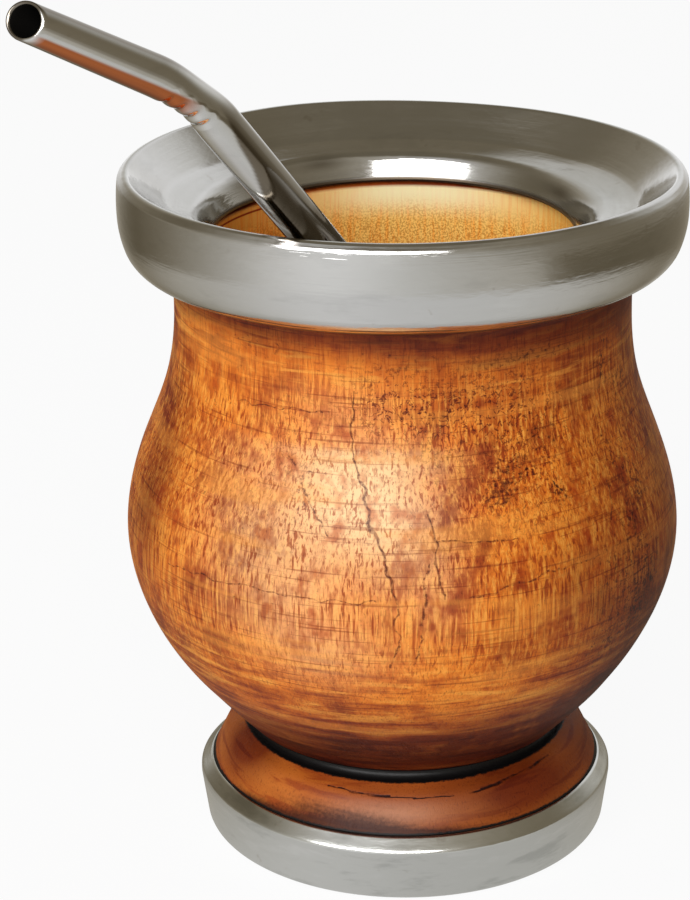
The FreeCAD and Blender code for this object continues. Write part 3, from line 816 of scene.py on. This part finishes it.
# Collar: spun from one sheet of steel, pressed over the lip of the wood. The sheet is
# rolled under at the hem, and its funnel rolls down into the mouth; polished by hand.
def steel_look(tree, surface, place, tone, rough, ring_count, ring_height, painted_dark_bore=None, painted_wood_reflection=None,
               painted_shadow=None, shade=None, patchy=0.25):
    """Polished steel with fine rings, wiped smears, a few dull spots, and any painted shade and reflection
    given.
    """
    rings = placed(tree, turning_rings, Object_Place=place, Rings_per_Metre=ring_count, Broken_Up=18.0)
    smear = noise_at(tree, stretched(tree, place, (70, 70, 260)), 1.0, 4.0, 0.65, 6.0)
    spots = fade(tree, noise_at(tree, place, 330.0, 3.0, 0.6, 7.0), 0.64, 0.74)
    dull = linear(tree, calc(tree, "SUBTRACT", smear, 0.5), 0.25, rough)
    dull = linear(tree, calc(tree, "SUBTRACT", rings["Rings"], 0.5), 0.20, dull)
    colour = blend(tree, times(tree, spots, 0.35), (*tone, 1), (0.40, 0.36, 0.31, 1))
    light_patch = times(tree, fade(tree, smear, 0.52, 0.70), patchy)
    colour = blend(tree, light_patch, colour, (0.76, 0.76, 0.75, 1))
    dark_patch = times(tree, fade(tree, smear, 0.48, 0.32), patchy)
    colour = darkened(tree, dark_patch, colour, (0.66, 0.67, 0.66))
    # Painted shadow: dark brown where the sheet folds under or meets the wood.
    if painted_shadow is not None:
        colour = blend(tree, painted_shadow, colour, (0.11, 0.085, 0.06, 1))
        dull = calc(tree, "MAXIMUM", dull, times(tree, painted_shadow, 0.45))
    if shade is not None:
        colour = darkened(tree, shade, colour, (0.26, 0.215, 0.16))
    if painted_dark_bore is not None:
        # Painted reflection of the orange wood along the straw's mouth piece.
        colour = blend(tree, painted_wood_reflection, colour, (0.40, 0.12, 0.04, 1))
        # Painted shade: the inside of the tube made near black and dull.
        colour = blend(tree, painted_dark_bore, colour, (0.012, 0.011, 0.010, 1))
        dull = calc(tree, "MAXIMUM", dull, times(tree, painted_dark_bore, 0.8))
    streaks = linear(tree, fade(tree, smear, 0.42, 0.62), 3.5, 0.6)
    relief = linear(tree, rings["Wide Rings"], 4.0, times(tree, rings["Rings"], streaks))
    relief = linear(tree, smear, 5.0, relief)
    wiped = noise_at(tree, stretched(tree, place, (70, 70, 3200)), 1.0, 3.0, 0.6, 13.0)
    relief = linear(tree, times(tree, wiped, attribute(tree, "brushed")), 11.0, relief)
    bump = new_node(tree, "ShaderNodeBump", {"Strength": 1.0, "Distance": ring_height, "Height": relief})
    steel = new_node(tree, "ShaderNodeBsdfPrincipled", {
        "Base Color": colour, "Metallic": 1.0, "Roughness": dull, "Normal": bump.outputs[0]})
    plug(tree, steel.outputs[0], surface)


collar_material, tree, surface = new_material("collar_steel")
place = object_place(tree)
parts = split(tree, place)
# Painted shadow: a wavy dark line in the hem's fold, the underside of the hem and a dark line round the
# edge of the mouth.
around_hem = noise_at(tree, stretched(tree, place, (60, 60, 0)), 1.0, 2.0, 0.5, 8.0)
hem_level = linear(tree, parts["Z"], 1000.0, times(tree, around_hem, -1.2))
hem_line = times(tree, fade(tree, hem_level, 88.02, 88.12), fade(tree, hem_level, 88.32, 88.20))
hem_line = times(tree, hem_line, fade(tree, around_hem, 0.40, 0.50))
under_hem = times(tree, fade(tree, hem_level, 87.92, 87.62), 0.85)
in_mouth = fade(tree, from_axis(tree, place), 0.032, 0.031)
mouth_line = times(tree, fade(tree, parts["Z"], 0.0916, 0.0911), in_mouth)
painted_shadow = calc(tree, "MAXIMUM", calc(tree, "MAXIMUM", hem_line, under_hem), mouth_line)
steel_look(tree, surface, place, (0.63, 0.625, 0.615), 0.13, 1500.0, 0.000007, painted_shadow=painted_shadow,
           shade=attribute(tree, "shade"))
collar_inner = lining(collar_profile, sheet_steel)
collar_loop = chain(collar_profile, collar_inner[::-1], [collar_profile[0]])
collar = ring_piece("steel_collar", turned_rows(collar_loop), collar_material, Around=288,
                    Hand_Wobble=0.00010, Wobble_Size=30.0, Seed=5.0)
hand_fitted(collar)
dents = [(-66, 33.0, 3.0, 2.2, 0.22), (-58, 30.6, 2.0, 1.2, -0.15), (-74, 30.2, 1.6, 1.2, 0.14),
         (152, 35.5, 5.0, 1.6, 0.10), (165, 33.0, 8.0, 0.8, -0.07), (128, 31.8, 3.5, 1.6, 0.12),
         (-160, 34.2, 10.0, 0.8, 0.06), (75, 32.0, 3.0, 2.0, 0.12), (-120, 34.0, 5.0, 2.0, 0.08)]
for vertex in collar.data.vertices:
    x, y, z = (value / mm for value in vertex.co)
    if z > 92 and math.hypot(x, y) < 37.5:
        for degrees, r, along, across, depth in dents:
            angle = math.radians(degrees)
            out = Vector((math.sin(angle), -math.cos(angle)))
            gap = Vector((x, y)) - out * r
            far = (gap.dot(out) / across) ** 2 + (gap.cross(out) / along) ** 2
            vertex.co.z -= depth * mm * math.exp(-far)
brushed_marks = [(-22, 97.8, 15, 1.7, 0.85), (-20, 94.4, 15, 2.4, 0.6), (12, 98.2, 16, 1.0, 0.5),
                 (178, 93.8, 30, 1.2, 0.5), (-5, 99.6, 30, 0.8, 0.8), (42, 92.5, 12, 2.5, 0.35),
                 (-58, 94, 12, 3, 0.4), (120, 95, 25, 3, 0.6), (-140, 94, 25, 3, 0.6)]
mouth_shades = [(-157, 93.8, 7, 0.9, 0.6), (-178, 91.9, 30, 0.5, 0.3), (117, 92.8, 9, 0.9, 0.7),
                (-128, 93.6, 9, 1.2, 0.35)]
for name, marks, inmost in (("brushed", brushed_marks, 0), ("shade", mouth_shades, 1)):
    layer = collar.data.attributes.new(name, "FLOAT", "POINT")
    for vertex in collar.data.vertices:
        x, y, z = (value / mm for value in vertex.co)
        if not inmost or math.hypot(x, y) < 32:
            layer.data[vertex.index].value = spread(math.degrees(math.atan2(x, -y)), z, marks)
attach(collar, "root")
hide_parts("rim_collar")

# Foot cap: a shallow cup pressed from the same sheet, bevelled in over the foot of the
# wood. Its wall has a satin finish with dull blotches, and the bevel is brighter.
base_material, tree, surface = new_material("base_steel")
place = object_place(tree)
steel_look(tree, surface, place, (0.66, 0.665, 0.645), 0.17, 1300.0, 0.000006, patchy=0.6)
cap_inner = lining(cap_profile, sheet_steel)
cap_loop = chain(cap_profile, cap_inner[::-1])
cap = ring_piece("steel_foot_cap", turned_rows(cap_loop), base_material, Around=256,
                 Hand_Wobble=0.00008, Wobble_Size=35.0, Seed=9.0)
hand_fitted(cap)
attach(cap, "root")
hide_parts("base_cap")

# Drinking straw: a chromed steel tube, bent near its top over a crimping tool and cut
# off at a slant at the mouth. Its lower end is closed and round, and hides in the cup.
stem_r, tube_wall = 2.9, 0.45
bend_flat_r, bend_wide_r, necked_r, mouth_end_r = 2.475, 3.0, 2.675, 2.435
slant_run = 9.0
rim_point = Vector((-14.13, -27.25, 100.85))


def heading(azimuth, elevation):
    a, e = math.radians(azimuth), math.radians(elevation)
    return Vector((math.cos(e) * math.cos(a), math.cos(e) * math.sin(a), math.sin(e)))


stem_up = -heading(46.1, 41.9 - 90)
to_mouth = heading(-148.6, 27.5)
tip = rim_point - stem_up * 78.9
corner = rim_point + stem_up * 27.4
turn = to_mouth.angle(stem_up)
bend_r = 30.0
tangent = bend_r * math.tan(0.5 * turn)
bend_start = corner - stem_up * tangent
bend_axis = stem_up.cross(to_mouth).normalized()
to_centre = bend_axis.cross(stem_up).normalized()
bend_centre = bend_start + to_centre * bend_r
mouth_run = 24.9 - tangent
stem_run = (bend_start - tip).length
bend_run = bend_r * turn
full_run = stem_run + bend_run + mouth_run
mouth_view = heading(-83.1, 11.8)
cut_axis = to_mouth.cross(mouth_view).normalized()
cut_slope = math.tan(math.radians(28.0))
cut_side = cut_axis.cross(to_mouth).normalized()


def straw_ring(run, shrink, round_end=1.0):
    """Centre and reaches of the tube's ring at a distance from its lower end."""
    if run <= stem_run:
        centre = tip + stem_up * run
        ahead = stem_up
        across = flat = stem_r
    elif run <= stem_run + bend_run:
        share = (run - stem_run) / bend_run
        angle = share * turn
        centre = bend_centre + bend_r * (stem_up * math.sin(angle) - to_centre * math.cos(angle))
        ahead = stem_up * math.cos(angle) + to_centre * math.sin(angle)
        swell = math.sin(math.pi * share) ** 2
        ends = (1 - share) * stem_r + share * necked_r
        flat = (1 - swell) * ends + swell * bend_flat_r
        across = (1 - swell) * ends + swell * bend_wide_r
    else:
        past = run - stem_run - bend_run
        centre = corner + to_mouth * (tangent + past)
        ahead = to_mouth
        across = flat = necked_r + (mouth_end_r - necked_r) * past / mouth_run
    inward = bend_axis.cross(ahead)
    one = bend_axis * max(0.0, across - shrink) * round_end
    two = inward * max(0.0, flat - shrink) * round_end
    slant = min(1.0, max(0.0, (run - full_run) / slant_run + 1))
    one = one - to_mouth * (one.dot(cut_side) * cut_slope * slant)
    two = two - to_mouth * (two.dot(cut_side) * cut_slope * slant)
    hidden = 1.0 if shrink > tube_wall - 0.03 else 0.0
    return (tuple(centre * mm), tuple(one * mm), tuple(two * mm), run * mm, hidden)


runs = [stem_run * i / 130 for i in range(131)]
runs += [stem_run + bend_run * i / 128 for i in range(1, 129)]
runs += [stem_run + bend_run + mouth_run * i / 24 for i in range(1, 24)]
straw_rows = []
for i in range(8):
    dome = math.radians(90 * i / 8)
    straw_rows.append(straw_ring(-stem_r * math.cos(dome), 0, math.sin(dome)))
straw_rows += [straw_ring(run, 0) for run in runs]
for i in range(7):
    lip_angle = math.pi * i / 6
    lip_r = 0.5 * tube_wall
    straw_rows.append(straw_ring(full_run - lip_r + lip_r * math.sin(lip_angle),
                                 lip_r * (1 - math.cos(lip_angle))))
straw_rows += [straw_ring(run, tube_wall) for run in runs[::-1]]
for i in range(7, -1, -1):
    dome = math.radians(90 * i / 8)
    straw_rows.append(straw_ring(-(stem_r - tube_wall) * math.cos(dome), tube_wall, math.sin(dome)))
straw_material, tree, surface = new_material("straw_steel")
place = object_place(tree)
steel_look(tree, surface, place, (0.63, 0.62, 0.60), 0.08, 400.0, 0.000001,
           painted_dark_bore=attribute(tree, "hidden_side"), painted_wood_reflection=attribute(tree, "painted_wood_reflection_stripe"),
           shade=attribute(tree, "shade"))
straw = ring_piece("steel_straw", straw_rows, straw_material, Around=96,
                   Crimp_Start=(stem_run + 2.0) * mm, Crimp_Pitch=2.1 * mm, Crimps=4.0, Crimp_Depth=0.065,
                   Crimp_Turn=math.radians(45.0))
shade_limits = [(4.8, -50), (8.3, -43), (10.7, -28), (14.35, -10), (18.4, 0), (22, 18), (28, 40)]
stem_front = (mouth_view - stem_up * mouth_view.dot(stem_up)).normalized()
stem_side = stem_up.cross(stem_front)
layer = straw.data.attributes.new("painted_wood_reflection_stripe", "FLOAT", "POINT")
shades = straw.data.attributes.new("shade", "FLOAT", "POINT")
for vertex in straw.data.vertices:
    spot = vertex.co / mm
    past = (spot - corner).dot(to_mouth)
    away = spot - corner
    side = math.degrees(math.atan2(away.dot(to_mouth.cross(cut_side)), away.dot(cut_side)))
    run_end = mouth_run + tangent
    # Painted reflection: an orange stripe of the wood along the lower side of the mouth piece.
    stripe = step_between(past, -1.5, 2.5) * step_between(past, run_end - 0.8, run_end - 2.4)
    wide = between(past, [(0, 31), (run_end, 25)])
    layer.data[vertex.index].value = stripe * step_between(abs(side + 46), wide, wide - 9)
    top_side = 0.85 * step_between(past, -2.0, 6.0) * step_between(side, 38, 62)
    under_side = 0.8 * step_between(past, -2.0, 6.0) * step_between(side, -62, -76)
    low = spot - rim_point
    height = low.dot(stem_up)
    side = math.degrees(math.atan2(low.dot(stem_side), low.dot(stem_front)))
    limit = between(height, shade_limits)
    stem = step_between(side, limit - 4, limit + 5) * step_between(height, 26, 21)
    stem *= 0.95 - 0.5 * step_between(side, 10, 42)
    shades.data[vertex.index].value = max(top_side, under_side, stem, 0.8 * step_between(height, 4, 0))
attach(straw, "root")
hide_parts("bombilla")
